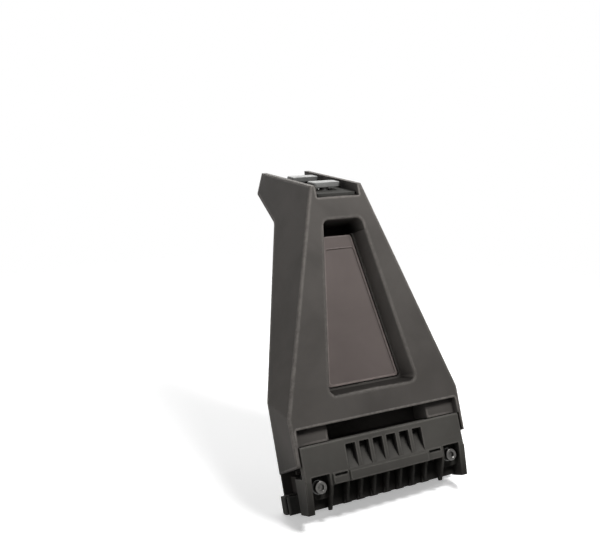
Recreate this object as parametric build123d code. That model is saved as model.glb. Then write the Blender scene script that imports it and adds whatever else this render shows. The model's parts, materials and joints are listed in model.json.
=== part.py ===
from build123d import *
from math import cos, radians, sin, sqrt, tan
import os

# Roof bar foot for a rain gutter: a leaning moulded leg with a saddle for the bar on top,
# a rubber shoe that stands in the gutter, and a jaw that two screws draw against the gutter's lip.
# X runs along the gutter, +Y inboard along the bar, +Z up. The origin is under the middle of the shoe.
# Sizes marked "along the leg" are taken in the leg's own leaning frame, where z runs up the leg.

# Overall form
lean = 23.9                 # lean of the front face off upright, degrees
height = 212.9              # underside of the shoe to the saddle's rims
face_offset = 31.3          # front face ahead of the shoe's middle, square to the face
top_half = 21.0             # half width at the rims
kink_half = 68.25           # half width where the leg is widest
kink_height = 69.8          # height of that widest line
foot_taper = 1.85           # narrowing of each side from there to the shoe's underside
kink_depth = 33.4           # front to back of the sides at the widest line
neck_drop = 31.7            # hollow under the saddle's tail, below the rims
neck_depth = 51.7           # front to back of the sides at the neck
saddle_length = 83.4        # length of the rims
tail_drop = 16.0            # height of the saddle's rear end
tail_rake = 2.7             # undercut of the rear end
cheek_front = 31.9          # lower front corner of the side walls, along the leg
cheek_rear = 26.5           # lower rear corner of the side walls, along the leg
cheek_rear_back = 2.0       # its place front to back, along the leg

# Moulding
side_wall = 3.6
face_wall = 4.0
edge_radius = 1.8
kink_radius = 5.0
neck_radius = 7.0
tail_radius = 2.5
rib = 2.6
rib_first = 77.7            # first cross rib, along the leg
rib_last_drop = 5.0         # last cross rib below the top of the recess
rib_count = 7
rib_setback = 1.5           # ribs stand in from the open back
shell_floor = 59.2          # top of the closed floor of the hollow, along the leg

# Saddle
channel_half = 17.0
channel_depth = 8.0
saddle_floor = 5.0
bar_bolt_setback = 19.2     # front bar bolt behind the front of the rims
bar_bolt_spacing = 34.0

# Recess in the front face, along the leg
recess_bottom = 73.0
recess_top_drop = 25.3      # below the top edge of the face
recess_bottom_half = 35.0
recess_top_half = 15.3
recess_depth = 12.0
recess_draft = 15.0
recess_radius = 4.5
recess_edge_radius = 2.4
tub_wall = 3.2
tub_floor = 5.6
pry_slot_height = 8.8       # hole above the panel, up to the mouth of the recess
pry_slot_depth = 18.0       # beyond the recess floor

# Front panel, sunk behind a narrow ledge
panel_ledge = 1.5
ledge_chamfer = 0.4
ledge_angle = 45.0
panel_thickness = 2.5
panel_sink = 0.9
panel_clearance = 0.6
panel_radius = 2.0
field_margin = 1.6
field_top_margin = 8.0
field_depth = 0.4
snap_bays = (1, 4)          # bays between the cross ribs that take the snap legs
snap_half_spacing = 8.5
snap_width = 6.0
snap_thickness = 1.8
snap_barb = 0.9
snap_barb_height = 1.4
snap_clearance = 0.3

# Front below the face, along the leg
face_bottom = 55.4
land_setback = 4.0          # the two flat lands under the face
land_inner_half = 40.0
slot_depth = 20.0           # middle slot between the lands
bay_top = 44.6              # roof of the bay that takes the jaw
cheek_wall = 1.4            # side walls beside the jaw, at the shoe's underside

# Stem behind the jaw, and the tongue in the shoe, along the leg
stem_front = -9.5
stem_back = 3.0
stem_inset = 0.4            # ends of the stem inside the side walls' outer faces
stem_shoulder = 28.9        # top of the stem's straight back
stem_root = 50.2            # end of the stem inside the leg
stem_pocket_wall = 1.6      # hollow in each end, behind the jaw
stem_pocket_top = 28.0
stem_pocket_inner = 36.0    # above the screws
stem_pocket_floor = 1.0     # beside the screws, above the shoe
tongue_front = -5.5
tongue_bottom = 3.0
tongue_root = 21.9          # where the tongue's front runs out to the wall behind the jaw
core_width = 15.0
core_pitch = 19.0
core_count = 4
core_bottom = 30.2
core_wall = 4.2

# Shoe
shoe_overhang = 1.6         # ends beyond the side walls' outer faces
shoe_wall = 2.5
shoe_end_wall = 4.3
shoe_top = 12.0
shoe_clearance = 0.15
heel_radius = 3.6
toe_radius = 1.4
shoe_notch_width = 3.2      # gap between the two lobes of each end
shoe_notch_depth = 3.0
shoe_notch_y = -3.4
lobe_radius = 1.2

# Jaw, along the leg
jaw_clearance = 1.0         # to the sides of its bay
jaw_top_clearance = 0.4
plate_thickness = 8.0
plate_bottom = 21.2
jaw_bottom = 1.5
jaw_wall = 4.0
gutter_gap = 6.0            # open between shoe and jaw pad at rest
jaw_pad_thickness = 2.0
jaw_pad_half = 44.0
jaw_pad_bottom = 2.4
jaw_pad_groove = 0.6
jaw_pad_groove_width = 1.4
jaw_pad_groove_count = 3
jaw_pad_groove_pitch = 2.6
jaw_shoulder_high = 34.2
jaw_shoulder_low = 30.2
jaw_edge_radius = 1.0
jaw_core_inner = 38.0       # hollows behind the ends of the plate
jaw_core_skin = 4.0
lip_half = 31.5
lip_proud = 2.5
lip_top = 24.2
lip_bottom = 16.6
lip_thickness = 4.6
wing_proud = 1.3
wing_slot_width = 9.4
wing_slot_height = 1.5
wing_slot_depth = 2.0
wing_slot_z = 22.4
scoop_count = 6
scoop_pitch = 10.7
scoop_width = 7.4
scoop_top = 40.2
scoop_depth = 5.2
scoop_sag = 1.1
grille_rib = 1.8
grille_count = 7
grille_pitch = 10.5
grille_foot_half = 3.0
grille_foot_height = 6.0
grille_foot_back = 22.2     # front of the ribs at the bottom, ahead of the shoe's middle
screw_inset = 11.5          # screws from the ends of the jaw
screw_bay_half = 6.75
screw_wall = 2.0
screw_wall_bottom = -0.3
screw_bay_top = 23.8
screw_boss_bottom = 8.2
end_top = 21.7
end_bottom = 0.3
end_foot_front = 28.0

# Clamp screws, M5 with socket heads
clamp_bolt_z = 16.5
m5 = 5.0
m5_length = 30.0
m5_head_d = 8.5
m5_head_h = 5.0
m5_socket = 4.0
m5_socket_depth = 2.5
m5_sink = 1.2               # heads behind the jaw's face
m5_washer_d = 9.0
m5_washer_t = 1.0
m5_hole_clearance = 0.35
thread_clearance = 0.05
insert_af = 7.5
insert_clearance = 0.05
retainer_d = 9.5
retainer_t = 1.5
retainer_pocket_clearance = 0.35
retainer_grip = 0.03
retainer_float = 0.4

# Bar bolts, M8 with T-heads
m8 = 8.0
m8_length = 24.0
m8_hole_clearance = 0.4
tee_width = 22.0
tee_length = 12.0
tee_thickness = 3.5
tee_corner = 1.5
bar_lip = 2.5               # lip of the bar's channel that the heads grip
m8_nut_af = 13.0
m8_nut_h = 6.5
m8_washer_d = 16.0
m8_washer_t = 1.6
spreader_half = 14.0
spreader_t = 3.0
spreader_overhang = 12.0
spreader_corner = 3.0
bar_pad_t = 2.0
bar_pad_gap = 0.3
bar_pad_inset = 3.0
bar_pad_corner = 2.0

# Derived values
foot_half = kink_half - foot_taper
neck_height = height - neck_drop
seat_z = height - channel_depth
saddle_under = seat_z - saddle_floor
face_y = -face_offset
face_top = (height - face_offset * sin(radians(lean))) / cos(radians(lean))
floor_y = face_y + recess_depth
recess_top = face_top - recess_top_drop
recess_flank = (recess_bottom_half - recess_top_half) / (recess_top - recess_bottom)
recess_inset = recess_depth * tan(radians(recess_draft))
panel_top_drop = pry_slot_height - recess_inset - panel_ledge
rib_pitch = (recess_top - rib_last_drop - rib_first) / (rib_count - 1)
bay_half = foot_half - cheek_wall
jaw_half = bay_half - jaw_clearance
jaw_top = bay_top - jaw_top_clearance
jaw_pad_top = shoe_top
jaw_pad_face = tongue_front - shoe_wall - gutter_gap
jaw_back = jaw_pad_face - jaw_pad_thickness
jaw_inside = jaw_back - jaw_wall
plate_back = face_y + plate_thickness
lip_inside = face_y + lip_thickness - lip_proud
stem_half = foot_half - stem_inset
shoe_half = foot_half + shoe_overhang
tongue_half = shoe_half - shoe_end_wall
clamp_bolt_x = jaw_half - screw_inset
screw_bay_inner = clamp_bolt_x - screw_bay_half
screw_bay_outer = clamp_bolt_x + screw_bay_half
head_face = face_y + m5_sink
head_seat = head_face + m5_head_h
boss_face = head_seat + m5_washer_t
retainer_seat = jaw_back - retainer_t - retainer_float
sides = {"left": -1, "right": 1}
far = 2 * height

# The leg's own leaning frame, and its front face as a sketch plane
LEG = Location((0, 0, 0), (-lean, 0, 0))
FACE = Plane(origin=(0, face_y, 0), x_dir=(1, 0, 0), z_dir=(0, -1, 0))
OUTWARD = Axis((0, 0, 0), (0, -cos(radians(lean)), sin(radians(lean))))


def tilt(y, z):
    """Y and Z in the part's frame of a point given along the leg."""
    turn = radians(lean)
    return (y * cos(turn) + z * sin(turn), z * cos(turn) - y * sin(turn))


def face_at(z, behind=0.0):
    """Y in the part's frame of the front face, or of a plane behind it, at height z."""
    turn = radians(lean)
    return z * tan(turn) + (behind - face_offset) / cos(turn)


bar_bolt_front = face_at(height) + bar_bolt_setback
bar_bolts = {"front": bar_bolt_front, "rear": bar_bolt_front + bar_bolt_spacing}


def block(x0, x1, y0, y1, z0, z1):
    return Pos((x0 + x1) / 2, (y0 + y1) / 2, (z0 + z1) / 2) * Box(x1 - x0, y1 - y0, z1 - z0)


def slab(points, x0, x1):
    """A side profile of (y, z) points, carried from x0 to x1."""
    return extrude(Plane.YZ.offset(x0) * Polygon(*points, align=None), amount=x1 - x0, dir=(1, 0, 0))


def rod(radius, y0, y1, x=0.0, z=0.0):
    """A round bar along y."""
    return extrude(Plane.XZ.offset(-y0) * Pos(x, z) * Circle(radius), amount=y0 - y1)


def hex_rod(across_flats, y0, y1, x=0.0, z=0.0):
    """A hexagonal bar along y."""
    hexagon = RegularPolygon(across_flats / 2, 6, major_radius=False)
    return extrude(Plane.XZ.offset(-y0) * Pos(x, z) * hexagon, amount=y0 - y1)


def both(x0, x1):
    """The same stretch of x on the right and on the left."""
    return ((x0, x1), (-x1, -x0))


def leg_sides():
    """The side view of the leg as a prism along X."""
    rim_rear = face_at(height) + saddle_length
    tail = (rim_rear - tail_rake, height - tail_drop)
    neck = (face_at(neck_height) + neck_depth, neck_height)
    kink = (face_at(kink_height) + kink_depth, kink_height)
    profile = Polygon(
        tilt(face_y, cheek_front),
        (face_at(height), height),
        (rim_rear, height),
        tail,
        neck,
        kink,
        tilt(cheek_rear_back, cheek_rear),
        align=None,
    )
    for (y, z), radius in ((tail, tail_radius), (neck, neck_radius), (kink, kink_radius)):
        profile = fillet(profile.vertices().sort_by_distance((y, z, 0))[0], radius)
    return extrude(Plane.YZ * profile, amount=far, both=True)


def leg_front(inset):
    """The front view of the leg, drawn in by inset, as a prism along Y."""
    spread = (kink_half - top_half) / (height - kink_height)
    draw = inset * sqrt(1 + spread**2)
    outline = Polygon(
        (-foot_half + inset, -far),
        (foot_half - inset, -far),
        (foot_half - inset, 0),
        (kink_half - draw, kink_height),
        (top_half - draw, height),
        (-top_half + draw, height),
        (-kink_half + draw, kink_height),
        (-foot_half + inset, 0),
        align=None,
    )
    return extrude(Plane.XZ * outline, amount=far, both=True)


def recess_outline(inset, radius, top_margin=0.0):
    """The recess's trapezoid, drawn in by inset and with its top lowered by top_margin."""
    low = recess_bottom + inset
    high = recess_top - inset - top_margin
    draw = inset * sqrt(1 + recess_flank**2)
    low_half = recess_bottom_half - recess_flank * inset - draw
    high_half = recess_top_half + recess_flank * (inset + top_margin) - draw
    corners = Polygon((-low_half, low), (low_half, low), (high_half, high), (-high_half, high), align=None)
    return fillet(corners.vertices(), radius) if radius else corners


def recess_tub(grow, radius, depth, draft):
    """The recess, or with grow the moulded tub round it, sunk from the face with its walls drawn in."""
    return extrude(FACE * recess_outline(-grow, radius), amount=-depth, taper=draft)


def snap_places():
    for bay in snap_bays:
        for x in (-snap_half_spacing, snap_half_spacing):
            yield x, rib_first + rib_pitch * (bay + 0.5)


def bar_bolt_hole(y):
    """Clearance hole for a bar bolt through the saddle and what lies on and under its floor."""
    return Pos(0, y, seat_z) * Cylinder(m8 / 2 + m8_hole_clearance, m8_length)


def leg_hollow():
    """The hollow of the leg, open to the back."""
    front_low = tilt(face_y + face_wall, shell_floor)
    back_low = tilt(far, shell_floor)
    front_high = (face_at(saddle_under, face_wall), saddle_under)
    hollow = slab([front_low, back_low, (far, saddle_under), front_high], -far, far)
    return hollow & leg_front(side_wall)


def leg_ribs():
    """Cross ribs and a middle web."""
    last = rib_first + rib_pitch * (rib_count - 1)
    ribs = block(-rib / 2, rib / 2, -far, far, shell_floor - rib, last)
    for k in range(rib_count):
        z = rib_first + rib_pitch * k
        ribs += block(-far, far, -far, far, z - rib / 2, z + rib / 2)
    return LEG * ribs


def front_face(shape):
    return shape.faces().filter_by(OUTWARD).sort_by(OUTWARD)[-1]


def leg_body():
    outer = leg_sides() & leg_front(0)
    kink_edges = outer.edges().filter_by(Axis.Y).sort_by(Axis.Z)[:2]
    outer = fillet(kink_edges, kink_radius)
    flanks = front_face(outer).edges().filter_by(Axis.X, reverse=True)
    outer = fillet(flanks, edge_radius)

    hollow = leg_hollow()
    ribs = leg_ribs() & hollow & (Pos(0, -rib_setback, 0) * outer)
    leg = outer - hollow + ribs

    # Recess with its tub, the panel's pocket behind a ledge, and the hole above the panel
    pry_low = recess_top - pry_slot_height
    pry_depth = recess_depth + pry_slot_depth
    above_panel = block(-far, far, -far, far, pry_low, far)
    above_web = block(-far, far, -far, far, pry_low - tub_wall, far)
    tub = recess_tub(tub_wall, 0, recess_depth + tub_floor, recess_draft)
    tub += recess_tub(tub_wall, 0, pry_depth + tub_wall, 0) & above_web
    leg += (LEG * tub) & outer
    leg -= LEG * recess_tub(0, recess_radius, recess_depth, recess_draft)
    leg = fillet(front_face(leg).inner_wires()[0].edges(), recess_edge_radius)
    pocket = recess_outline(recess_inset + panel_ledge, panel_radius, panel_top_drop)
    pocket = extrude(FACE.offset(-recess_depth) * pocket, amount=-(panel_sink + panel_thickness))
    mouth = recess_outline(recess_inset + panel_ledge - ledge_chamfer, panel_radius, panel_top_drop)
    pocket += extrude(FACE.offset(-recess_depth) * mouth, amount=-ledge_chamfer, taper=ledge_angle)
    leg -= LEG * pocket
    leg -= LEG * (recess_tub(0, recess_radius, pry_depth, 0) & above_panel)
    for x, z in snap_places():
        half = snap_width / 2 + snap_clearance
        low = z - snap_thickness / 2 - snap_clearance
        high = z + snap_thickness / 2 + snap_clearance
        leg -= LEG * block(x - half, x + half, floor_y, floor_y + tub_floor + snap_barb_height, low, high)

    # Saddle channel with the holes for the bar bolts
    leg -= block(-channel_half, channel_half, -far, far, seat_z, far)
    for y in bar_bolts.values():
        leg -= bar_bolt_hole(y)

    # Bay for the jaw, the two lands and the slot between them
    leg -= LEG * block(-bay_half, bay_half, -far, stem_front, -far, bay_top)
    leg -= LEG * block(-jaw_half, jaw_half, -far, face_y + land_setback, jaw_top, face_bottom)
    leg -= LEG * block(-land_inner_half, land_inner_half, -far, face_y + slot_depth, jaw_top, face_bottom)

    # Stem with a hollow in each end, and the tongue that drops into the shoe
    stem = slab(
        [
            (tongue_front, shoe_top),
            (stem_back, shoe_top),
            (stem_back, stem_shoulder),
            (cheek_rear_back, stem_root),
            (stem_front, stem_root),
            (stem_front, cheek_rear),
            (tongue_front, tongue_root),
        ],
        -stem_half,
        stem_half,
    )
    pocket_back = stem_back - stem_pocket_wall
    for x0, x1 in both(screw_bay_outer, far):
        stem -= block(x0, x1, -far, pocket_back, shoe_top + stem_pocket_floor, stem_pocket_top)
    for x0, x1 in both(stem_pocket_inner, far):
        stem -= block(x0, x1, stem_front + stem_pocket_wall, pocket_back, screw_bay_top, stem_pocket_top)
    leg += LEG * stem
    leg += LEG * block(-tongue_half, tongue_half, tongue_front, stem_back, tongue_bottom, shoe_top)
    core_first = -core_pitch * (core_count - 1) / 2
    for k in range(core_count):
        x = core_first + core_pitch * k
        half = core_width / 2
        core = block(x - half, x + half, stem_front + core_wall, far, core_bottom, shell_floor - core_wall)
        leg -= LEG * core
    for side in sides.values():
        x = side * clamp_bolt_x
        leg -= LEG * hex_rod(insert_af + 2 * insert_clearance, stem_front, far, x, clamp_bolt_z)
    return leg


def front_panel():
    """Bare clip-in panel with a sunk field and four snap legs."""
    inset = recess_inset + panel_ledge + panel_clearance
    outline = recess_outline(inset, panel_radius, panel_top_drop)
    face = recess_depth + panel_sink
    back = face + panel_thickness
    panel = extrude(FACE.offset(-back) * outline, amount=panel_thickness)
    field = recess_outline(inset + field_margin, panel_radius, panel_top_drop + field_top_margin)
    panel -= extrude(FACE.offset(-face - field_depth) * field, amount=panel_thickness)
    floor_back = floor_y + tub_floor + snap_clearance / 2
    for x, z in snap_places():
        half = snap_width / 2
        top = z + snap_thickness / 2
        tip = floor_back + snap_barb_height
        panel += block(x - half, x + half, face_y + back, tip, z - snap_thickness / 2, top)
        panel += block(x - half, x + half, floor_back, tip, top, top + snap_barb)
    return LEG * panel


def bar_pad():
    """Rubber sheet in the saddle channel."""
    front = face_at(seat_z) + bar_pad_inset
    rear = face_at(height) + saddle_length - tail_rake - bar_pad_inset
    half = channel_half - bar_pad_gap
    pad = block(-half, half, front, rear, seat_z, seat_z + bar_pad_t)
    pad = chamfer(pad.edges().filter_by(Axis.Z), bar_pad_corner)
    for y in bar_bolts.values():
        pad -= bar_bolt_hole(y)
    return pad


def spreader_plate():
    """Steel plate under the saddle floor that both bar bolts draw up against it."""
    front = bar_bolts["front"] - spreader_overhang
    rear = bar_bolts["rear"] + spreader_overhang
    plate = block(-spreader_half, spreader_half, front, rear, saddle_under - spreader_t, saddle_under)
    plate = chamfer(plate.edges().filter_by(Axis.Z), spreader_corner)
    for y in bar_bolts.values():
        plate -= bar_bolt_hole(y)
    return plate


def bar_bolt(y):
    """T-head bolt whose head runs in the bar's channel."""
    under = seat_z + bar_pad_t + bar_lip
    head = block(
        -tee_width / 2, tee_width / 2, y - tee_length / 2, y + tee_length / 2, under, under + tee_thickness
    )
    head = chamfer(head.edges().filter_by(Axis.Z), tee_corner)
    return head + Pos(0, y, under - m8_length / 2) * Cylinder(m8 / 2, m8_length)


def bar_washer(y):
    top = saddle_under - spreader_t
    ring = Cylinder(m8_washer_d / 2, m8_washer_t) - Cylinder(m8 / 2 + m8_hole_clearance / 2, 2 * m8_washer_t)
    return Pos(0, y, top - m8_washer_t / 2) * ring


def bar_nut(y):
    top = saddle_under - spreader_t - m8_washer_t
    nut = extrude(RegularPolygon(m8_nut_af / 2, 6, major_radius=False), amount=-m8_nut_h)
    nut -= Cylinder(m8 / 2 + thread_clearance, 4 * m8_nut_h)
    return Pos(0, y, top) * nut


def foot_pad():
    """Rubber shoe over the leg's tongue, with a rounded heel and two lobes at each end."""
    shoe_front = tongue_front - shoe_wall
    shoe_back = stem_back + shoe_wall
    corners = [(shoe_front, 0), (shoe_back, 0), (shoe_back, shoe_top), (shoe_front, shoe_top)]
    section = Polygon(*corners, align=None)
    section = fillet(section.vertices().sort_by_distance((shoe_back, 0, 0))[0], heel_radius)
    section = fillet(section.vertices().sort_by_distance((shoe_front, 0, 0))[0], toe_radius)
    plan = Pos(0, (shoe_front + shoe_back) / 2) * Rectangle(2 * shoe_half, shoe_back - shoe_front)
    for side in sides.values():
        plan -= Pos(side * shoe_half, shoe_notch_y) * Rectangle(2 * shoe_notch_depth, shoe_notch_width)
    plan = fillet([v for v in plan.vertices() if abs(v.X) > shoe_half - shoe_notch_depth / 2], lobe_radius)
    shoe = extrude(Plane.YZ * section, amount=far, both=True) & extrude(plan, amount=far, both=True)
    half = tongue_half + shoe_clearance
    front = tongue_front - shoe_clearance
    back = stem_back + shoe_clearance
    return LEG * (shoe - block(-half, half, front, back, tongue_bottom, far))


def scoop(x):
    """Finger scoop in the jaw's plate, deep at its top and running out at the lip."""
    deep = (face_y + scoop_depth, scoop_top)
    shallow = (face_y, lip_top)
    middle = (face_y + scoop_depth / 2 + scoop_sag, (scoop_top + lip_top) / 2)
    sides_and_top = Polyline(shallow, (face_y - lip_proud, lip_top), (face_y - lip_proud, scoop_top), deep)
    floor = ThreePointArc(deep, middle, shallow)
    profile = make_face(sides_and_top.edges() + floor.edges())
    return extrude(Plane.YZ.offset(x - scoop_width / 2) * profile, amount=scoop_width)


def row(count, pitch):
    """Places of count things at an even pitch about the middle."""
    return [pitch * (k - (count - 1) / 2) for k in range(count)]


def clamp_jaw():
    section = [
        (face_y, jaw_top),
        (plate_back, jaw_top),
        (plate_back, jaw_shoulder_high),
        (jaw_back, jaw_shoulder_low),
        (jaw_back, jaw_bottom),
        (jaw_inside, jaw_bottom),
        (jaw_inside, plate_bottom),
        (face_y, plate_bottom),
    ]
    jaw = slab(section, -jaw_half, jaw_half)
    rim = jaw.faces().sort_by(Axis.Y)[0].edges().filter_by(lambda e: e.center().Z > plate_bottom)
    jaw = fillet(rim, jaw_edge_radius)

    # Lip along the lower edge of the plate, raised in the middle, with a slotted wing at each end
    lip_face = face_y - lip_proud
    wing_face = face_y - wing_proud
    jaw += slab(
        [
            (face_y, lip_top),
            (lip_face, lip_top - lip_proud / 2),
            (lip_face, lip_bottom),
            (lip_inside, lip_bottom),
            (lip_inside, lip_top),
        ],
        -lip_half,
        lip_half,
    )
    for x0, x1 in both(lip_half, screw_bay_inner - screw_wall):
        jaw += slab(
            [
                (face_y, lip_top),
                (wing_face, lip_top - wing_proud),
                (wing_face, lip_bottom),
                (lip_inside, lip_bottom),
                (lip_inside, lip_top),
            ],
            x0,
            x1,
        )
        middle = (x0 + x1) / 2
        jaw -= block(
            middle - wing_slot_width / 2, middle + wing_slot_width / 2, -far, wing_face + wing_slot_depth,
            wing_slot_z - wing_slot_height / 2, wing_slot_z + wing_slot_height / 2,
        )
    for x in row(scoop_count, scoop_pitch):
        jaw -= scoop(x)

    # Grille of upright ribs below the lip
    rib_side = [
        (jaw_inside, plate_bottom),
        (lip_inside, plate_bottom),
        (lip_inside, lip_bottom),
        (-grille_foot_back, jaw_bottom),
        (jaw_inside, jaw_bottom),
    ]
    rib_foot = Polygon(
        (-grille_foot_half, jaw_bottom),
        (grille_foot_half, jaw_bottom),
        (grille_rib / 2, jaw_bottom + grille_foot_height),
        (-grille_rib / 2, jaw_bottom + grille_foot_height),
        align=None,
    )
    for x in row(grille_count, grille_pitch):
        jaw += slab(rib_side, x - grille_rib / 2, x + grille_rib / 2)
        foot = Plane.XZ.offset(-jaw_inside) * Pos(x, 0) * rib_foot
        jaw += extrude(foot, amount=grille_foot_back + jaw_inside)

    # Screw bays with their bosses, the end blocks and the hollows behind the ends of the plate
    bay_wall = [
        (jaw_inside, screw_bay_top),
        (face_y, screw_bay_top),
        (face_y, lip_bottom),
        (-grille_foot_back, screw_wall_bottom),
        (jaw_inside, screw_wall_bottom),
    ]
    end_side = [
        (jaw_back, end_top),
        (face_y, end_top),
        (-end_foot_front, end_bottom),
        (jaw_back, end_bottom),
    ]
    for side, (x0, x1) in zip((1, -1), both(screw_bay_inner, screw_bay_outer)):
        jaw += block(x0, x1, boss_face, jaw_back, screw_boss_bottom, screw_bay_top)
        jaw -= block(x0, x1, -far, boss_face, -far, screw_bay_top)
        wall = sorted((side * (screw_bay_inner - screw_wall), side * screw_bay_inner))
        jaw += slab(bay_wall, *wall)
        jaw += slab(end_side, *sorted((side * screw_bay_outer, side * jaw_half)))
        x = side * clamp_bolt_x
        jaw -= rod(m5 / 2 + m5_hole_clearance, -far, far, x, clamp_bolt_z)
        pocket = retainer_d / 2 + retainer_pocket_clearance
        jaw -= rod(pocket, retainer_seat, far, x, clamp_bolt_z)
        core = sorted((side * jaw_core_inner, side * far))
        jaw -= block(*core, face_y + jaw_core_skin, far, screw_bay_top, far)
    return LEG * jaw


def jaw_pad():
    """Rubber facing on the jaw, grooved along its length."""
    pad = block(-jaw_pad_half, jaw_pad_half, jaw_back, jaw_pad_face, jaw_pad_bottom, jaw_pad_top)
    for z in row(jaw_pad_groove_count, jaw_pad_groove_pitch):
        middle = (jaw_pad_bottom + jaw_pad_top) / 2 + z
        half = jaw_pad_groove_width / 2
        pad -= block(-far, far, jaw_pad_face - jaw_pad_groove, far, middle - half, middle + half)
    return LEG * pad


def clamp_bolt(x):
    """Socket head screw."""
    head = rod(m5_head_d / 2, head_face, head_seat)
    head -= hex_rod(m5_socket, head_face, head_face + m5_socket_depth)
    shank = rod(m5 / 2, head_seat, head_seat + m5_length)
    return LEG * Pos(x, 0, clamp_bolt_z) * (head + shank)


def clamp_washer(x):
    ring = rod(m5_washer_d / 2, head_seat, boss_face) - rod(m5 / 2 + m5_hole_clearance / 2, -far, far)
    return LEG * Pos(x, 0, clamp_bolt_z) * ring


def bolt_retainer(x):
    """Ring pressed on the screw behind the jaw, so that the jaw comes away with the screw."""
    ring = rod(retainer_d / 2, retainer_seat, retainer_seat + retainer_t)
    ring -= rod(m5 / 2 + retainer_grip, -far, far)
    return LEG * Pos(x, 0, clamp_bolt_z) * ring


def clamp_insert(x):
    """Hexagonal threaded insert moulded into the leg's tongue."""
    sleeve = hex_rod(insert_af, tongue_front, stem_back) - rod(m5 / 2 + thread_clearance, -far, far)
    return LEG * Pos(x, 0, clamp_bolt_z) * sleeve


pieces = {
    "leg_body": leg_body(),
    "front_panel": front_panel(),
    "bar_pad": bar_pad(),
    "spreader_plate": spreader_plate(),
    "foot_pad": foot_pad(),
    "clamp_jaw": clamp_jaw(),
    "jaw_pad": jaw_pad(),
}
for end, y in bar_bolts.items():
    pieces["bar_bolt_" + end] = bar_bolt(y)
    pieces["bar_washer_" + end] = bar_washer(y)
    pieces["bar_nut_" + end] = bar_nut(y)
for hand, side in sides.items():
    x = side * clamp_bolt_x
    pieces["clamp_bolt_" + hand] = clamp_bolt(x)
    pieces["clamp_washer_" + hand] = clamp_washer(x)
    pieces["bolt_retainer_" + hand] = bolt_retainer(x)
    pieces["clamp_insert_" + hand] = clamp_insert(x)

os.makedirs("parts", exist_ok=True)
for name, shape in pieces.items():
    export_step(shape, f"parts/{name}.step")
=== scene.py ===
# Roof bar foot: finishes, turned hardware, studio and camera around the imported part, in metres.
import json
import math

import bmesh
import bpy
from mathutils import Matrix, Vector


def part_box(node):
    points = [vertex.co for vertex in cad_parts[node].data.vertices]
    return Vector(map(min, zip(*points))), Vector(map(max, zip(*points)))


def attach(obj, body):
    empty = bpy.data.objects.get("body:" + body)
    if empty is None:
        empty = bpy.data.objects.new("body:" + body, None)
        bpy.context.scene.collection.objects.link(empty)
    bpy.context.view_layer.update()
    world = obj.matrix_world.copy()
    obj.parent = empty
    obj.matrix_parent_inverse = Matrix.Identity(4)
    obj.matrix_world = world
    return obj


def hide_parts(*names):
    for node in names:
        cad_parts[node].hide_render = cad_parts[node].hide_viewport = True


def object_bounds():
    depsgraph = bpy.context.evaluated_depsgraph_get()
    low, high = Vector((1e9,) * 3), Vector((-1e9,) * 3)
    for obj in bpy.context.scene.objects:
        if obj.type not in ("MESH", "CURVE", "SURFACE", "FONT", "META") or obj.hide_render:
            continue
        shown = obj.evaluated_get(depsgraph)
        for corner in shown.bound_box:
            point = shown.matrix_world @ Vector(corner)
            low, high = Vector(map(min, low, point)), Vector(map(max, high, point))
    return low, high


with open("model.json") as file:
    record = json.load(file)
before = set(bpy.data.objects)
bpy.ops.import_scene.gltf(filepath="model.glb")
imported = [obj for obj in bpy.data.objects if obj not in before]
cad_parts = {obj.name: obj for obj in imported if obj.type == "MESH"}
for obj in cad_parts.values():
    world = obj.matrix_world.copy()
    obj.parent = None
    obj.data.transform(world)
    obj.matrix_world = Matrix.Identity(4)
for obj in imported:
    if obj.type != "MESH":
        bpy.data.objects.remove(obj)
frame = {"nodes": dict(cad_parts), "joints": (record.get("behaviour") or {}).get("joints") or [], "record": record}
cad_low, cad_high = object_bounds()

# Colours of the mouldings and metals, linear
LEG_CHARCOAL = (0.090, 0.083, 0.077)
JAW_CHARCOAL = (0.086, 0.082, 0.075)
PANEL_CHARCOAL = (0.146, 0.123, 0.116)
RUBBER_BLACK = (0.048, 0.047, 0.044)
ZINC = (0.24, 0.24, 0.235)
DARK_ZINC = (0.10, 0.097, 0.093)
BRASS = (0.72, 0.53, 0.25)
NATURAL_NYLON = (0.72, 0.70, 0.64)

# Mouldings: grain, drifting tone and eased corners
FINE_GRAIN = 2.2                # finer roughness to each pit of the grain
GRAIN_STRENGTH = 0.6
GRAIN_GLOSS = 0.07              # spread of the roughness over the grain
FLECK_RANGE = (0.25, 0.75)
CLOUD_RANGE = (0.3, 0.7)
EASE_RADIUS = 0.0004
EASE_SAMPLES = 6

# Mouldings: outer corners made paler, partly as rubbed wear and partly as a painted highlight. Each range is where
# a mask goes from none to full.
MASK_SAMPLES = 8
RUB_HIGHLIGHT_REACH = 0.0012
RUB_HIGHLIGHT_SHADE = 2.8                 # rubbed wear and painted highlight on a corner, to the moulding's own tone
RUB_POLISH = 0.12               # roughness that rubbing takes off
CORNER_RANGE = (0.985, 0.90)    # open share of the space inside the wall
WALL_RANGE = (0.62, 0.80)       # the same, to leave out walls thinner than the reach
BREAK_RANGE = (0.3, 0.65)       # noise that breaks the rubbing up
BREAK_LEAST = 0.35              # rubbing left between the patches
OPEN_RANGE = (0.97, 1.0)        # open share of the space outside, to keep the rubbing and painted highlight out of hollows

# Mouldings: painted shade in hollows, on sheltered upward faces and darkening toward the bottom
SHADE_REACH = 0.030
SHADE_TONE = 0.2               # painted shade to the moulding's own tone
DEEP_RANGE = (0.75, 0.38)       # open share of the space outside, in deep hollows
SHELTER_RANGE = (0.998, 0.93)   # the same, on sheltered faces that get painted shade
UPWARD_RANGE = (0.41, 0.72)     # upward part of the face's direction
SHADE_HEIGHT = 0.056           # height below which painted shade darkens the low part
LOW_SHADE_RANGE = (1.0, 0.3)       # shares of that height

# Metals
METAL_DRIFT = 0.1
METAL_PATCHES = 160.0
CUT_RANGE = (0.3, 0.7)
CUT_SMOOTH = 0.08               # roughness taken off and added along the cut lines
CUT_ROUGH = 0.1
CUT_STRENGTH = 0.25
CUT_DEPTH = 0.00003
CUT_STRETCH = (0.12, 0.12, 1.0)

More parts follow.
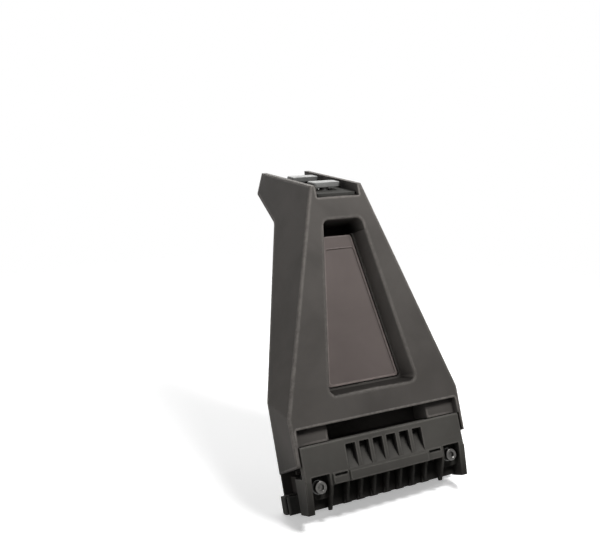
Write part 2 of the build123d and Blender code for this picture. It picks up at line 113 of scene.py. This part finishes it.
# Clamp screws, M5 with knurled socket heads, measured inward from the head's face
SCREW_RADIUS = 0.0025
SCREW_ROOT = 0.00206
SCREW_PITCH = 0.0008
SCREW_LENGTH = 0.030
SCREW_HEAD = 0.005
SCREW_HEAD_RADIUS = 0.00425
SCREW_RIM = ((0.0, 0.0007), (0.00008, 0.00045), (0.00035, 0.00016))  # depth, inset from the head's radius
SCREW_KNURL = 0.00013
SCREW_KNURL_TOP = 0.0006
SCREW_KNURL_FOOT = 0.0005       # end of the knurl above the head's underside
SCREW_UNDER_EDGE = 0.0003
SCREW_UNDER_INSET = 0.00015
SCREW_SOCKET = 0.004
SCREW_SOCKET_DEPTH = 0.0025
SCREW_SOCKET_EASE = 0.0003
SCREW_SOCKET_MOUTH = 0.00248
SCREW_POINT = 0.0006            # drill point at the bottom of the socket
SCREW_POINT_RADIUS = 0.0017
SCREW_POINT_TIP = 0.0002

# T-bolts and nuts of the saddle, M8
TEE_RADIUS = 0.004
TEE_ROOT = 0.0034
TEE_PITCH = 0.00125
TEE_HEAD = 0.0035
TEE_CORNER = 0.0015
TEE_EDGE = 0.0004
NUT_FLATS = 0.013
NUT_FACE_RADIUS = 0.0060
NUT_CROWN = ((0.0, 0.0), (0.0002, 0.00035), (0.0005, 0.00087), (0.0009, 0.0016))  # depth, growth of radius
NUT_BORE = 0.00405
NUT_MOUTH = 0.0005

# Meshes of the hardware
HEAD_SEGMENTS = 96
THREAD_SEGMENTS = 32
THREAD_STEPS = 8                # rings to each turn of a thread
THREAD_CREST = 1.15             # flanks carried past the crest, which leaves it flat
SHARP_ANGLE = math.radians(32)
HEX_STEP = math.pi / 3

# Camera of the photo's view
CAMERA_PLACE = (-0.2739, -0.4246, 0.2869)
CAMERA_PITCH = math.radians(90 - 13.6)
CAMERA_TURN = math.radians(-26.85)
CAMERA_ROLL = math.radians(0.42)
CAMERA_LENS = 46.75
CAMERA_SENSOR = 36.0

# Studio
FLOOR_RADIUS = 1.6
FLOOR_SIDES = 96
FLOOR_FADE = (0.22, 0.75)
FLOOR_WHITE = 0.93
FLOOR_BOUNCE = 0.04
FLOOR_GLOW = 0.4
FLOOR_ROUGH = 0.9
WORLD_LIGHT = 0.03
WHITE = (1.0, 1.0, 1.0, 1.0)

# Lamps: degrees round from the front and up, distance, width and height, and level,
# where a level of 1 lights a surface that faces the lamp as bright as its colour is written
LAMPS = {
    "key": (30, 57, 0.62, (0.2, 0.2), 0.97),
    "left_front": (-66, 6, 0.8, (0.2, 0.4), 0.16),
    "left_strip": (-80, 6, 0.9, (0.16, 0.6), 0.24),
    "right_strip": (99, 8, 0.9, (0.12, 0.6), 0.30),
    "back_right": (150, 50, 1.1, (0.6, 0.6), 0.36),
    "back": (176, 14, 1.1, (0.6, 0.6), 0.40),
}

# Places of the colour sockets on a Mix node
MIX_LOW, MIX_HIGH, MIX_RESULT = 6, 7, 2


# Shader building blocks

def add(tree, kind, values=None, **settings):
    """A new node of a kind with its properties and input values set."""
    node = tree.nodes.new(kind)
    for name, value in settings.items():
        setattr(node, name, value)
    for name, value in (values or {}).items():
        node.inputs[name].default_value = value
    return node


def placed(tree, group, values=None):
    """A node group with its input values set."""
    return add(tree, "ShaderNodeGroup", values, node_tree=group)


def group_tree(name, inputs, outputs):
    """An empty shader node group with named number sockets, and its two end nodes."""
    tree = bpy.data.node_groups.new(name, "ShaderNodeTree")
    for label, value in inputs.items():
        socket = tree.interface.new_socket(label, in_out="INPUT", socket_type="NodeSocketFloat")
        socket.default_value = value
    for label in outputs:
        tree.interface.new_socket(label, in_out="OUTPUT", socket_type="NodeSocketFloat")
    return tree, tree.nodes.new("NodeGroupInput"), tree.nodes.new("NodeGroupOutput")


def math_node(tree, operation, a, b):
    """A Math node on two numbers or sockets."""
    node = add(tree, "ShaderNodeMath", operation=operation)
    for socket, value in zip(node.inputs, (a, b)):
        if isinstance(value, (int, float)):
            socket.default_value = value
        else:
            tree.links.new(value, socket)
    return node.outputs[0]


def times(tree, a, b):
    return math_node(tree, "MULTIPLY", a, b)


def ramp(tree, source, low, high, to_low=0.0, to_high=1.0):
    """A smooth step of a value from one range to another."""
    ends = {"From Min": low, "From Max": high, "To Min": to_low, "To Max": to_high}
    node = add(tree, "ShaderNodeMapRange", ends, interpolation_type="SMOOTHSTEP")
    tree.links.new(source, node.inputs["Value"])
    return node.outputs["Result"]


def mixed(tree, mask, low, high):
    """A colour that goes from low to high with a mask; either end may be a colour or a socket."""
    node = add(tree, "ShaderNodeMix", data_type="RGBA")
    tree.links.new(mask, node.inputs["Factor"])
    for socket, value in ((node.inputs[MIX_LOW], low), (node.inputs[MIX_HIGH], high)):
        if isinstance(value, tuple):
            socket.default_value = value
        else:
            tree.links.new(value, socket)
    return node.outputs[MIX_RESULT]


def shade(colour, factor):
    """A colour made paler or darker, with its alpha."""
    return tuple(min(1.0, c * factor) for c in colour) + (1.0,)


# Shared effects

def mould_grain():
    """Spark-eroded mould texture: rounded pits with finer roughness over them."""
    tree, ends_in, ends_out = group_tree("mould_grain", {"Pits per metre": 1400.0}, ("Height", "Fleck"))
    place = add(tree, "ShaderNodeTexCoord")
    pits = add(tree, "ShaderNodeTexVoronoi", {"Randomness": 1.0}, feature="SMOOTH_F1")
    fine = add(tree, "ShaderNodeTexNoise", {"Detail": 3.0, "Roughness": 0.6})
    finer = times(tree, ends_in.outputs["Pits per metre"], FINE_GRAIN)
    for texture, scale in ((pits, ends_in.outputs["Pits per metre"]), (fine, finer)):
        tree.links.new(place.outputs["Object"], texture.inputs["Vector"])
        tree.links.new(scale, texture.inputs["Scale"])
    relief = times(tree, pits.outputs["Distance"], fine.outputs["Fac"])
    tree.links.new(relief, ends_out.inputs["Height"])
    tree.links.new(fine.outputs["Fac"], ends_out.inputs["Fleck"])
    return tree


def tone_drift():
    """Slow change of tone over a piece, from flow of the melt, plating and handling."""
    tree, ends_in, ends_out = group_tree("tone_drift", {"Patches per metre": 22.0}, ("Tone",))
    place = add(tree, "ShaderNodeTexCoord")
    cloud = add(tree, "ShaderNodeTexNoise", {"Detail": 5.0, "Roughness": 0.55, "Distortion": 0.4})
    tree.links.new(place.outputs["Object"], cloud.inputs["Vector"])
    tree.links.new(ends_in.outputs["Patches per metre"], cloud.inputs["Scale"])
    tree.links.new(ramp(tree, cloud.outputs["Fac"], *CLOUD_RANGE), ends_out.inputs["Tone"])
    return tree


def edge_rub_and_highlight():
    """Mask of outer corners, broken up as rubbing leaves it; it makes them paler as rubbed wear and as a painted
    highlight.
    """
    inputs = {"Reach": RUB_HIGHLIGHT_REACH, "Breaks per metre": 240.0}
    tree, ends_in, ends_out = group_tree("edge_rub_and_highlight", inputs, ("Mask",))
    inner = add(tree, "ShaderNodeAmbientOcclusion", samples=MASK_SAMPLES, inside=True, only_local=True)
    tree.links.new(ends_in.outputs["Reach"], inner.inputs["Distance"])
    place = add(tree, "ShaderNodeTexCoord")
    breaks = add(tree, "ShaderNodeTexNoise", {"Detail": 4.0, "Roughness": 0.7})
    tree.links.new(place.outputs["Object"], breaks.inputs["Vector"])
    tree.links.new(ends_in.outputs["Breaks per metre"], breaks.inputs["Scale"])
    corner = ramp(tree, inner.outputs["AO"], *CORNER_RANGE)
    patchy = ramp(tree, breaks.outputs["Fac"], *BREAK_RANGE, BREAK_LEAST, 1.0)
    thick = ramp(tree, inner.outputs["AO"], *WALL_RANGE)
    tree.links.new(times(tree, times(tree, corner, thick), patchy), ends_out.inputs["Mask"])
    return tree


def painted_hollow_shade():
    """Masks of painted shade in deep hollows, on sheltered upward faces and on the low part near the foot, and a
    mask of open faces.
    """
    inputs = {"Reach": SHADE_REACH, "Shade height": SHADE_HEIGHT}
    outputs = ("Deep", "LedgeShade", "LowShade", "Open")
    tree, ends_in, ends_out = group_tree("painted_hollow_shade", inputs, outputs)
    outer = add(tree, "ShaderNodeAmbientOcclusion", samples=MASK_SAMPLES, only_local=True)
    tree.links.new(ends_in.outputs["Reach"], outer.inputs["Distance"])
    surface = add(tree, "ShaderNodeNewGeometry")
    facing = add(tree, "ShaderNodeSeparateXYZ")
    tree.links.new(surface.outputs["Normal"], facing.inputs["Vector"])
    place = add(tree, "ShaderNodeSeparateXYZ")
    tree.links.new(surface.outputs["Position"], place.inputs["Vector"])
    sheltered = ramp(tree, outer.outputs["AO"], *SHELTER_RANGE)
    upward = ramp(tree, facing.outputs["Z"], *UPWARD_RANGE)
    height = math_node(tree, "DIVIDE", place.outputs["Z"], ends_in.outputs["Shade height"])
    tree.links.new(ramp(tree, outer.outputs["AO"], *DEEP_RANGE), ends_out.inputs["Deep"])
    tree.links.new(times(tree, sheltered, upward), ends_out.inputs["LedgeShade"])
    tree.links.new(ramp(tree, height, *LOW_SHADE_RANGE), ends_out.inputs["LowShade"])
    tree.links.new(ramp(tree, outer.outputs["AO"], *OPEN_RANGE), ends_out.inputs["Open"])
    return tree


def machined_lines():
    """Fine random lines round the part's own length, as turning or drawing leaves them."""
    tree, ends_in, ends_out = group_tree("machined_lines", {"Lines per metre": 5200.0}, ("Lines",))
    place = add(tree, "ShaderNodeTexCoord")
    stretch = add(tree, "ShaderNodeMapping", {"Scale": CUT_STRETCH})
    lines = add(tree, "ShaderNodeTexNoise", {"Detail": 4.0, "Roughness": 0.65})
    tree.links.new(place.outputs["Object"], stretch.inputs["Vector"])
    tree.links.new(stretch.outputs["Vector"], lines.inputs["Vector"])
    tree.links.new(ends_in.outputs["Lines per metre"], lines.inputs["Scale"])
    tree.links.new(lines.outputs["Fac"], ends_out.inputs["Lines"])
    return tree


def eased_edges():
    """Normals that round every moulded corner by a small radius."""
    tree, ends_in, ends_out = group_tree("eased_edges", {"Radius": EASE_RADIUS}, ())
    tree.interface.new_socket("Normal", in_out="OUTPUT", socket_type="NodeSocketVector")
    eased = add(tree, "ShaderNodeBevel", samples=EASE_SAMPLES)
    tree.links.new(ends_in.outputs["Radius"], eased.inputs["Radius"])
    tree.links.new(eased.outputs["Normal"], ends_out.inputs["Normal"])
    return tree


GRAIN = mould_grain()
DRIFT = tone_drift()
RUB_AND_HIGHLIGHT = edge_rub_and_highlight()
PAINTED_SHADE = painted_hollow_shade()
LINES = machined_lines()
EASED = eased_edges()


# Finishes

def blank_material(name):
    """A material with a plain Principled shader; returns the material, its tree and the shader."""
    material = bpy.data.materials.new(name)
    material.use_nodes = True
    tree = material.node_tree
    return material, tree, tree.nodes["Principled BSDF"]


def moulded(name, colour, rough, gloss, pits, depth, drift=0.12, rub_highlight=0.45, reach=RUB_HIGHLIGHT_REACH, deep_shade=0.9,
            ledge_shade=0.9, low_shade=0.85, shade_height=SHADE_HEIGHT, ease=EASE_RADIUS):
    """A moulded plastic or rubber: drifting tone, corners made paler by rubbed wear and a painted highlight,
    painted shade in hollows, on sheltered upward faces and toward the bottom, and grain in gloss and relief.
    """
    material, tree, shader = blank_material(name)
    shader.inputs["Specular IOR Level"].default_value = gloss
    grain = placed(tree, GRAIN, {"Pits per metre": pits})
    tone = placed(tree, DRIFT)
    worn_and_lit = placed(tree, RUB_AND_HIGHLIGHT, {"Reach": reach})
    hollow = placed(tree, PAINTED_SHADE, {"Shade height": shade_height})
    rounded = placed(tree, EASED, {"Radius": ease})

    body = mixed(tree, tone.outputs["Tone"], shade(colour, 1 - drift), shade(colour, 1 + drift))
    # Outer corners made paler: rubbed wear and a painted highlight along them.
    rubbed_and_lit = times(tree, times(tree, worn_and_lit.outputs["Mask"], hollow.outputs["Open"]), rub_highlight)
    body = mixed(tree, rubbed_and_lit, body, shade(colour, RUB_HIGHLIGHT_SHADE))
    # Painted shade: deep hollows, sheltered upward faces and the low part darkened.
    shaded = times(tree, hollow.outputs["Deep"], deep_shade)
    for mask, share in (("LedgeShade", ledge_shade), ("LowShade", low_shade)):
        shaded = math_node(tree, "MAXIMUM", shaded, times(tree, hollow.outputs[mask], share))
    tree.links.new(mixed(tree, shaded, body, shade(colour, SHADE_TONE)), shader.inputs["Base Color"])

    matt = ramp(tree, grain.outputs["Fleck"], *FLECK_RANGE, rough - GRAIN_GLOSS, rough + GRAIN_GLOSS)
    polish = times(tree, rubbed_and_lit, RUB_POLISH)
    tree.links.new(math_node(tree, "SUBTRACT", matt, polish), shader.inputs["Roughness"])

    relief = add(tree, "ShaderNodeBump", {"Strength": GRAIN_STRENGTH, "Distance": depth})
    tree.links.new(grain.outputs["Height"], relief.inputs["Height"])
    tree.links.new(rounded.outputs["Normal"], relief.inputs["Normal"])
    tree.links.new(relief.outputs["Normal"], shader.inputs["Normal"])
    return material


def metal(name, colour, rough):
    """A machined or plated metal with fine lines and a slightly uneven tone."""
    material, tree, shader = blank_material(name)
    shader.inputs["Metallic"].default_value = 1.0
    cut = placed(tree, LINES)
    tone = placed(tree, DRIFT, {"Patches per metre": METAL_PATCHES})
    body = mixed(tree, tone.outputs["Tone"], shade(colour, 1 - METAL_DRIFT), shade(colour, 1 + METAL_DRIFT))
    tree.links.new(body, shader.inputs["Base Color"])
    matt = ramp(tree, cut.outputs["Lines"], *CUT_RANGE, rough - CUT_SMOOTH, rough + CUT_ROUGH)
    tree.links.new(matt, shader.inputs["Roughness"])
    relief = add(tree, "ShaderNodeBump", {"Strength": CUT_STRENGTH, "Distance": CUT_DEPTH})
    tree.links.new(cut.outputs["Lines"], relief.inputs["Height"])
    tree.links.new(relief.outputs["Normal"], shader.inputs["Normal"])
    return material


FINISHES = {
    "leg_plastic": moulded(
        "leg_plastic", LEG_CHARCOAL, rough=0.55, gloss=0.05, pits=1400.0, depth=0.00008,
        rub_highlight=0.9, reach=0.0020, deep_shade=0.65),
    "panel_plastic": moulded(
        "panel_plastic", PANEL_CHARCOAL, rough=0.48, gloss=0.06, pits=2400.0, depth=0.00003,
        drift=0.06, rub_highlight=0.5, ease=0.0008),
    "jaw_plastic": moulded(
        "jaw_plastic", JAW_CHARCOAL, rough=0.55, gloss=0.05, pits=1400.0, depth=0.00008,
        rub_highlight=0.3, ledge_shade=0.2, shade_height=0.037),
    "rubber": moulded(
        "rubber", RUBBER_BLACK, rough=0.75, gloss=0.04, pits=1000.0, depth=0.00012,
        drift=0.2, rub_highlight=0.2, low_shade=0.0),
    "zinc_steel": metal("zinc_steel", ZINC, rough=0.42),
    "screw_steel": metal("screw_steel", DARK_ZINC, rough=0.34),
    "brass": metal("brass", BRASS, rough=0.3),
    "nylon": moulded(
        "nylon", NATURAL_NYLON, rough=0.45, gloss=0.4, pits=2000.0, depth=0.00003,
        drift=0.04, rub_highlight=0.0, deep_shade=0.3, low_shade=0.3),
}


def dress_nodes():
    """Gives each node of the frame the finish of its slot."""
    for subpart in frame["record"]["subparts"]:
        mesh = frame["nodes"][subpart["node"]].data
        mesh.materials.clear()
        mesh.materials.append(FINISHES[subpart["material_slot"]])


# Turned hardware

def skin(bm, rings, segments, looped=False):
    """A skin over rings of (z, radius), where a radius may be a function of the angle.

    Looped joins the last ring to the first, and otherwise both ends are closed.
    """
    loops = []
    for z, radius in rings:
        loop = []
        for k in range(segments):
            angle = 2 * math.pi * k / segments
            r = radius(angle) if callable(radius) else radius
            loop.append(bm.verts.new((r * math.cos(angle), r * math.sin(angle), z)))
        loops.append(loop)
    if looped:
        loops.append(loops[0])
    else:
        bm.faces.new(loops[0])
        bm.faces.new(loops[-1])
    for low, high in zip(loops, loops[1:]):
        for k in range(segments):
            n = (k + 1) % segments
            bm.faces.new((low[k], low[n], high[n], high[k]))


def hexagon(across_flats, limit=1.0):
    """Radius of a hexagon at an angle, cut off at a limit."""
    def radius(angle):
        off_flat = (angle + HEX_STEP / 2) % HEX_STEP - HEX_STEP / 2
        return min(limit, across_flats / 2 / math.cos(off_flat))
    return radius


def knurled(angle):
    """Radius of the screw head's knurled side, every other point sunk."""
    return SCREW_HEAD_RADIUS - SCREW_KNURL * (round(angle * HEAD_SEGMENTS / (2 * math.pi)) % 2)


def thread(radius, root, pitch, start, length):
    """Rings of a right-hand thread that runs out at its far end."""
    count = round(length / pitch * THREAD_STEPS)

    def ring(k):
        depth = (radius - root) * min(1.0, (count - k) / THREAD_STEPS)

        def flank(angle):
            turn = (k / THREAD_STEPS - angle / (2 * math.pi)) % 1.0
            return root + depth * min(1.0, THREAD_CREST * (1 - abs(2 * turn - 1)))
        return start + length * k / count, flank
    return [ring(k) for k in range(count + 1)]


def add_piece(name, bm, place, slot, body, node):
    """Makes a mesh piece of a slot's finish that stands for a CAD node and moves with its body."""
    bmesh.ops.recalc_face_normals(bm, faces=bm.faces)
    mesh = bpy.data.meshes.new(name)
    bm.to_mesh(mesh)
    bm.free()
    mesh.transform(place)
    mesh.shade_smooth()
    mesh.set_sharp_from_angle(angle=SHARP_ANGLE)
    mesh.materials.append(FINISHES[slot])
    piece = bpy.data.objects.new(name, mesh)
    bpy.context.scene.collection.objects.link(piece)
    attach(piece, body)
    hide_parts(node)


def clamp_screw(hand):
    """Socket head screw, set on the axis of the joint it turns on."""
    joint = next(j for j in frame["joints"] if j["name"] == f"screw_{hand}_turn")
    inward = -Vector(joint["axis"])
    across = Vector((1, 0, 0))
    turn = Matrix((across, inward.cross(across), inward)).transposed().to_4x4()
    under = SCREW_HEAD_RADIUS - SCREW_UNDER_INSET
    bm = bmesh.new()
    skin(bm, [
        (SCREW_SOCKET_DEPTH + SCREW_POINT, SCREW_POINT_TIP),
        (SCREW_SOCKET_DEPTH, SCREW_POINT_RADIUS),
        (SCREW_SOCKET_DEPTH, hexagon(SCREW_SOCKET)),
        (SCREW_SOCKET_EASE, hexagon(SCREW_SOCKET)),
        (0.0, SCREW_SOCKET_MOUTH),
        *((z, SCREW_HEAD_RADIUS - inset) for z, inset in SCREW_RIM),
        (SCREW_KNURL_TOP, knurled),
        (SCREW_HEAD - SCREW_KNURL_FOOT, knurled),
        (SCREW_HEAD - SCREW_UNDER_EDGE, under),
        (SCREW_HEAD, under),
        (SCREW_HEAD, SCREW_ROOT),
    ], HEAD_SEGMENTS)
    skin(bm, thread(SCREW_RADIUS, SCREW_ROOT, SCREW_PITCH, SCREW_HEAD, SCREW_LENGTH), THREAD_SEGMENTS)
    place = Matrix.Translation(Vector(joint["pos_m"])) @ turn
    add_piece(f"clamp_screw_{hand}", bm, place, "screw_steel", f"screw_{hand}", f"clamp_bolt_{hand}")


def tee_bolt(end):
    """Bolt with a flat rectangular head, its corners cut and its edges eased."""
    low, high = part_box(f"bar_bolt_{end}")
    middle = (low + high) / 2
    bm = bmesh.new()
    size = Matrix.Diagonal((high.x - low.x, high.y - low.y, TEE_HEAD, 1))
    bmesh.ops.create_cube(bm, size=1.0, matrix=Matrix.Translation((0, 0, -TEE_HEAD / 2)) @ size)
    upright = [e for e in bm.edges if abs(e.verts[0].co.z - e.verts[1].co.z) > TEE_HEAD / 2]
    bmesh.ops.bevel(bm, geom=upright, offset=TEE_CORNER, segments=1, affect="EDGES")
    bmesh.ops.bevel(bm, geom=list(bm.edges), offset=TEE_EDGE, segments=2, affect="EDGES")
    rings = thread(TEE_RADIUS, TEE_ROOT, TEE_PITCH, TEE_HEAD, high.z - low.z - TEE_HEAD)
    skin(bm, [(-z, radius) for z, radius in rings], THREAD_SEGMENTS)
    place = Matrix.Translation((middle.x, middle.y, high.z))
    add_piece(f"tee_bolt_{end}", bm, place, "zinc_steel", "leg", f"bar_bolt_{end}")


def chamfered_nut(end):
    """Hexagon nut with its corners turned off on both faces and its bore opened out."""
    low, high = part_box(f"bar_nut_{end}")
    middle = (low + high) / 2
    tall = high.z - low.z
    rings = [(NUT_MOUTH, NUT_BORE), (0.0, NUT_BORE + NUT_MOUTH)]
    rings += [(z, hexagon(NUT_FLATS, NUT_FACE_RADIUS + growth)) for z, growth in NUT_CROWN]
    rings += [(tall - z, radius) for z, radius in reversed(rings)]
    bm = bmesh.new()
    skin(bm, rings, HEAD_SEGMENTS, looped=True)
    place = Matrix.Translation((middle.x, middle.y, low.z))
    add_piece(f"chamfered_nut_{end}", bm, place, "zinc_steel", "leg", f"bar_nut_{end}")


# Studio

def seen_rays(tree):
    """1 for what the eye, a reflection or glass sees, 0 for light that only falls on things."""
    rays = add(tree, "ShaderNodeLightPath")
    seen = math_node(tree, "MAXIMUM", rays.outputs["Is Camera Ray"], rays.outputs["Is Glossy Ray"])
    return math_node(tree, "MAXIMUM", seen, rays.outputs["Is Transmission Ray"])


def white_world():
    """Soft white surroundings: plain light on the object, full white to the eye and in reflections."""
    world = bpy.data.worlds.new("studio")
    bpy.context.scene.world = world
    world.use_nodes = True
    tree = world.node_tree
    back = tree.nodes["Background"]
    back.inputs["Color"].default_value = WHITE
    strength = add(tree, "ShaderNodeMapRange", {"To Min": WORLD_LIGHT, "To Max": 1.0})
    tree.links.new(seen_rays(tree), strength.inputs["Value"])
    tree.links.new(strength.outputs["Result"], back.inputs["Strength"])


def pale_floor():
    """A white floor under the shoe that fades into the surroundings and is clear from below."""
    middle = (cad_low + cad_high) / 2
    bpy.ops.mesh.primitive_circle_add(vertices=FLOOR_SIDES, radius=FLOOR_RADIUS, fill_type="NGON",
                                      location=(middle.x, middle.y, cad_low.z))
    floor = bpy.context.object
    floor.name = "floor"
    material, tree, shader = blank_material("floor_white")
    seen = seen_rays(tree)
    tone = mixed(tree, seen, shade(WHITE[:3], FLOOR_BOUNCE), shade(WHITE[:3], FLOOR_WHITE))
    tree.links.new(tone, shader.inputs["Base Color"])
    shader.inputs["Emission Color"].default_value = WHITE
    tree.links.new(times(tree, seen, FLOOR_GLOW), shader.inputs["Emission Strength"])
    shader.inputs["Roughness"].default_value = FLOOR_ROUGH
    shader.inputs["Specular IOR Level"].default_value = 0.0
    place = add(tree, "ShaderNodeTexCoord")
    distance = add(tree, "ShaderNodeVectorMath", operation="LENGTH")
    tree.links.new(place.outputs["Object"], distance.inputs[0])
    fade = ramp(tree, distance.outputs["Value"], *FLOOR_FADE, 1.0, 0.0)
    above = math_node(tree, "SUBTRACT", 1.0, add(tree, "ShaderNodeNewGeometry").outputs["Backfacing"])
    tree.links.new(times(tree, fade, above), shader.inputs["Alpha"])
    floor.data.materials.append(material)


def softbox(name, azimuth, elevation, distance, size, level):
    """A lamp on a sphere round the part, facing its middle."""
    middle = (cad_low + cad_high) / 2
    around, up = math.radians(azimuth), math.radians(elevation)
    away = Vector((math.sin(around) * math.cos(up), -math.cos(around) * math.cos(up), math.sin(up)))
    lamp = bpy.data.lights.new(name, "AREA")
    lamp.shape = "RECTANGLE"
    lamp.size, lamp.size_y = size
    lamp.energy = level * math.pi ** 2 * distance ** 2
    lamp_object = bpy.data.objects.new(name, lamp)
    lamp_object.location = middle + distance * away
    lamp_object.rotation_euler = (-away).to_track_quat("-Z", "Y").to_euler()
    bpy.context.scene.collection.objects.link(lamp_object)


def photo_camera():
    """The camera that sees the part as the photo does."""
    data = bpy.data.cameras.new("camera")
    data.lens = CAMERA_LENS
    data.sensor_width = CAMERA_SENSOR
    camera = bpy.data.objects.new("camera", data)
    turn = Matrix.Rotation(CAMERA_TURN, 4, "Z") @ Matrix.Rotation(CAMERA_PITCH, 4, "X")
    camera.matrix_world = Matrix.Translation(CAMERA_PLACE) @ turn @ Matrix.Rotation(CAMERA_ROLL, 4, "Z")
    bpy.context.scene.collection.objects.link(camera)
    bpy.context.scene.camera = camera


dress_nodes()
for hand in ("left", "right"):
    clamp_screw(hand)
for end in ("front", "rear"):
    tee_bolt(end)
    chamfered_nut(end)
white_world()
pale_floor()
for name, setting in LAMPS.items():
    softbox(name, *setting)
photo_camera()
bpy.context.scene.view_settings.view_transform = "Standard"
